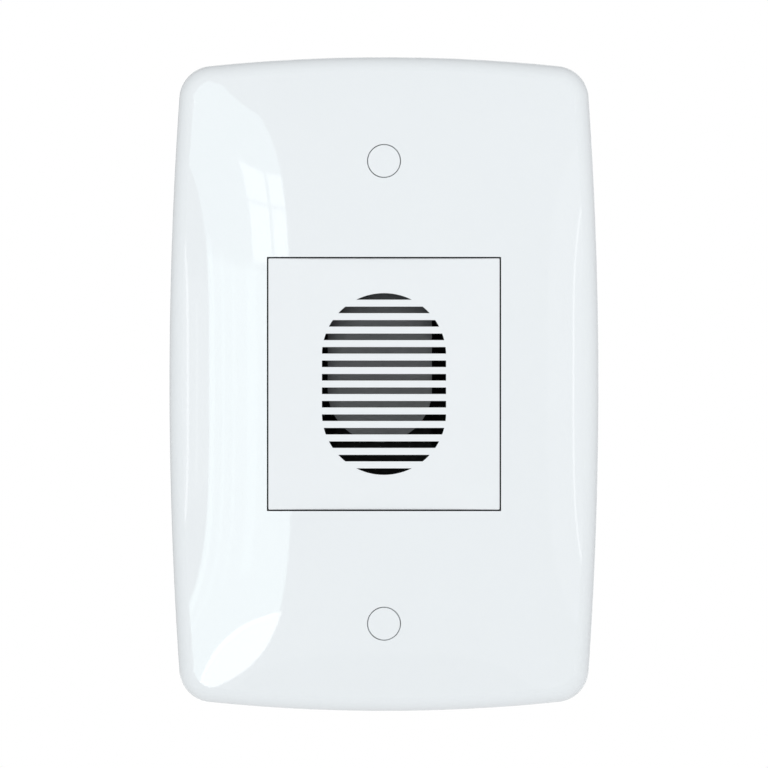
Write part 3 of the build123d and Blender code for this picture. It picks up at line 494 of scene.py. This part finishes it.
def wound_coil():
    """Coil of round wire. The outside radius is the winding's less a round groove between turns: wire radius ×
    (1 - the half circle over the turn's width), where a turn follows (way along / wire - share of a turn); the
    ends run straight in to the barrel, and the inside is plain."""
    low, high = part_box("coil_winding")
    outside, length = (high.x - low.x) / 2, high.y - low.y
    along = np.arange(0, length, WIRE / COIL_ROWS)
    share = np.mod(along[:, None] / WIRE - np.linspace(0, 1, COIL_COLUMNS, endpoint=False), 1)
    turns = outside - WIRE / 2 * (1 - np.sqrt(1 - (2 * share - 1) ** 2))
    edge = np.full((1, COIL_COLUMNS), BARREL_RADIUS)
    rim = np.full((1, COIL_COLUMNS), outside - WIRE / 2)
    radii = np.concatenate([edge, rim, turns, rim, edge, edge])
    depths = np.concatenate([[0, 0], along, [length, length, 0]])
    start = np.array([(low.x + high.x) / 2, low.y, (low.z + high.z) / 2])
    mesh = grid_mesh("coil_winding_wound", turned_grid(radii, depths, 1, COIL_COLUMNS) + start, False)
    stand_piece("coil_winding_wound", mesh, "winding_copper", "root", "coil_winding")


# Studio

def studio_world():
    """White for the camera. Everything else is lit from all round: the side light + front rise × how far the
    direction points out of the wall - upward fall × how far it points up."""
    world = bpy.data.worlds.new("studio")
    world.use_nodes = True
    bpy.context.scene.world = world
    sky = Shading(world.node_tree)
    way = sky.node("ShaderNodeTexCoord", {}, {}, "Generated")
    into_wall, up = (sky.node("ShaderNodeSeparateXYZ", {}, {"Vector": way}, letter) for letter in "YZ")
    seen = sky.node("ShaderNodeLightPath", {}, {}, "Is Camera Ray")
    background = world.node_tree.nodes["Background"]
    background.inputs["Color"].default_value = (*NEUTRAL, 1.0)
    strength = seen + (1 - seen) * (SIDE_LIGHT - FRONT_RISE * into_wall - UPWARD_FALL * up)
    world.node_tree.links.new(strength.socket, background.inputs["Strength"])


def lamp_panel(name, where, size, radiance, tint=NEUTRAL):
    """Soft rectangular lamp that faces the plate: its power is pi times radiance times area."""
    data = bpy.data.lights.new(name, "AREA")
    data.shape = "RECTANGLE"
    data.size, data.size_y = size
    data.energy = math.pi * radiance * size[0] * size[1]
    data.color = tint
    lamp = bpy.data.objects.new(name, data)
    bpy.context.scene.collection.objects.link(lamp)
    lamp.location = where
    lamp.rotation_euler = (-Vector(where)).to_track_quat("-Z", "Y").to_euler()
    return lamp


def mirrored_panel(name, sides, heights, radiance, tint=NEUTRAL, lean=0.0, nearer=0.0):
    """Lamp panel that the plate's dome mirrors between two angles to the side and two angles up, in degrees. It
    stands square to the wall or leans by some degrees, and a panel that adds to another one stands nearer."""
    distance = LAMP_DISTANCE - nearer
    left, right, bottom, top = (distance * math.tan(math.radians(angle)) for angle in (*sides, *heights))
    where = ((left + right) / 2, -distance, (bottom + top) / 2)
    lamp = lamp_panel(name, where, (right - left, top - bottom), radiance, tint)
    lamp.rotation_euler = (math.pi / 2, math.radians(lean), 0)


def studio_lamps():
    """Window light from the left, lines of light that the two rims mirror, soft fills before and behind that the
    gloss doesn't mirror, and a weak lamp behind that the top edge does."""
    mirrored_panel("window", (-19.6, -5.75), (-8.9, 1.5), 2.3, COOL)
    mirrored_panel("window upper part", (-19.6, -6.0), (1.5, 12.6), 1.5, COOLER)
    for sides in PANE_COLUMNS:
        for heights in PANE_ROWS:
            mirrored_panel("window pane", sides, heights, 1.8, nearer=0.1)
    mirrored_panel("bright sill", (-13.5, -5.7), (-16.0, -8.5), 3.9, lean=3, nearer=0.2)
    for sides, top, radiance in POSTS:
        mirrored_panel("window post", sides, (POST_BOTTOM, top), radiance, COOL, nearer=0.1)
    mirrored_panel("left line", (-24.6, -24.1), (-6.5, 6.5), 2.2)
    mirrored_panel("faint left line", (-22.5, -22.0), (-0.8, 0.6), 0.6, nearer=0.1)
    mirrored_panel("left glow", (-26.0, -19.6), (-1.0, 0.9), 0.35, nearer=0.2)
    mirrored_panel("right line", (22.6, 23.0), (-6.0, 6.0), 2.2, nearer=0.1)
    mirrored_panel("right glow", (17.2, 24.5), (-4.5, 4.5), 0.35)
    for name, where, radiance in (("front fill", (0.5, -3.6, -0.2), 1.0), ("rear fill", (0.2, 2.4, 0.3), 1.5)):
        lamp_panel(name, where, FILL_SIZE, radiance).visible_glossy = False
    lamp_panel("light on the top edge", (0.2, 2.5, 0.5), (2.3, 2.3), 0.7)


def studio_floor():
    """Pale floor well below the plate. It glows for the camera, and by a share of that for all other rays."""
    (left, right), (front, back) = FLOOR_X, FLOOR_Y
    corners = [(left, front, 0), (right, front, 0), (right, back, 0), (left, back, 0)]
    mesh = bpy.data.meshes.new("floor")
    mesh.from_pydata(corners, [], [(0, 1, 2, 3)])
    floor = bpy.data.objects.new("floor", mesh)
    bpy.context.scene.collection.objects.link(floor)
    floor.location = (0, 0, plate_low.z - FLOOR_DROP)
    pale = Finish("pale_floor", Roughness=0.8, Emission_Strength=FLOOR_GLOW)
    tone = pale.blend(pale.noise(4, 3), colour(240, 240, 240), colour(246, 246, 246))
    seen = pale.node("ShaderNodeLightPath", {}, {}, "Is Camera Ray")
    glow = seen * (1 - FLOOR_SHARE) + FLOOR_SHARE
    mesh.materials.append(pale.feed(Base_Color=tone, Emission_Color=glow))


def studio_camera():
    """Long lens straight before the plate's middle, which sees the picture's width there."""
    data = bpy.data.cameras.new("camera")
    data.sensor_width = SENSOR_WIDTH
    data.lens = SENSOR_WIDTH * CAMERA_DISTANCE / PICTURE_WIDTH
    data.clip_end = CAMERA_REACH
    camera = bpy.data.objects.new("camera", data)
    bpy.context.scene.collection.objects.link(camera)
    camera.location = (plate_middle.x, -CAMERA_DISTANCE, plate_middle.z)
    camera.rotation_euler = (math.pi / 2, 0, 0)
    bpy.context.scene.camera = camera
    bpy.context.scene.view_settings.view_transform = "Standard"


# The box

plate_low, plate_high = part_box("cover_plate")
plate_middle = (plate_low + plate_high) / 2
coil_low, coil_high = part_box("coil_winding")
coil_middle = (coil_low + coil_high) / 2

finishes = {
    "plate_white": moulded_white("plate_white_finish", colour(235, 239, 242), colour(238, 242, 245),
                                 gloss=0.02, orange_peel=0.0002 * MM, waviness=0.0008 * MM, domed=True),
    "insert_white": moulded_white("insert_white_finish", colour(235, 239, 242), colour(239, 242, 245),
                                  gloss=0.4, orange_peel=0.004 * MM, waviness=0.002 * MM),
    "frame_grey": sparked_plastic("frame_grey_finish", colour(186, 188, 190), colour(204, 206, 208),
                                  roughness=0.5, grain=0.012 * MM),
    "case_black": sparked_plastic("case_black_finish", colour(7, 7, 8), colour(20, 20, 21),
                                  roughness=0.5, grain=0.02 * MM),
    "bobbin_plastic": sparked_plastic("bobbin_plastic_finish", colour(12, 12, 13), colour(28, 28, 29),
                                      roughness=0.42, grain=0.006 * MM),
    "screw_zinc": plated_steel("screw_zinc_finish", colour(176, 184, 194), colour(206, 202, 190), roughness=0.24),
    "screw_black": plated_steel("screw_black_finish", colour(30, 30, 33), colour(46, 45, 46), roughness=0.34),
    # The blade's darker colour towards the grille's outline is painted shade
    "blade_steel": rolled_steel("blade_steel_finish", colour(110, 110, 112), colour(128, 128, 129),
                                roughness=0.42, metallic=0.6, film_and_painted_shade=colour(80, 80, 82)),
    "yoke_steel": rolled_steel("yoke_steel_finish", colour(30, 30, 32), colour(44, 44, 47),
                               roughness=0.48, metallic=0.85),
    "core_iron": turned_iron(coil_middle.x, coil_middle.z),
    "winding_copper": enamelled_wire(),
    "tape_yellow": coil_tape_film(),
    "terminal_brass": stamped_brass(),
    "pad_rubber": rubber_pad(),
    "lead_red": lead_insulation(),
}
for subpart in frame["record"]["subparts"]:
    node = nodes[subpart["node"]]
    node.data.materials.clear()
    node.data.materials.append(finishes[subpart["material_slot"]])

# Fixing screws M3.5 with a plain neck, then case, yoke, clamp and terminal screws, as wide and long as the CAD's
threaded_screws("mounting_screws", "screw_zinc", "root", heading=1, head_radius=2.8 * MM, head_height=2.0 * MM,
                shank_radius=1.75 * MM, pitch=0.6 * MM, neck=(1.65 * MM, 3.6 * MM))
threaded_screws("case_screws", "screw_zinc", "root", heading=-1, head_radius=2.1 * MM, head_height=1.5 * MM,
                shank_radius=1.15 * MM, pitch=0.5 * MM)
threaded_screws("yoke_screws", "screw_black", "root", heading=-1, head_radius=2.4 * MM, head_height=1.5 * MM,
                shank_radius=1.25 * MM, pitch=0.45 * MM)
threaded_screws("clamp_screws", "screw_zinc", "root", heading=1, head_radius=1.6 * MM, head_height=1.1 * MM,
                shank_radius=1.0 * MM, pitch=0.4 * MM)
for side in ("left", "right"):
    threaded_screws("terminal_screw_" + side, "screw_zinc", side + "_screw", heading=-1, head_radius=2.5 * MM,
                    head_height=1.8 * MM, shank_radius=1.5 * MM, pitch=0.5 * MM)
wound_coil()
studio_world()
studio_lamps()
studio_floor()
studio_camera()
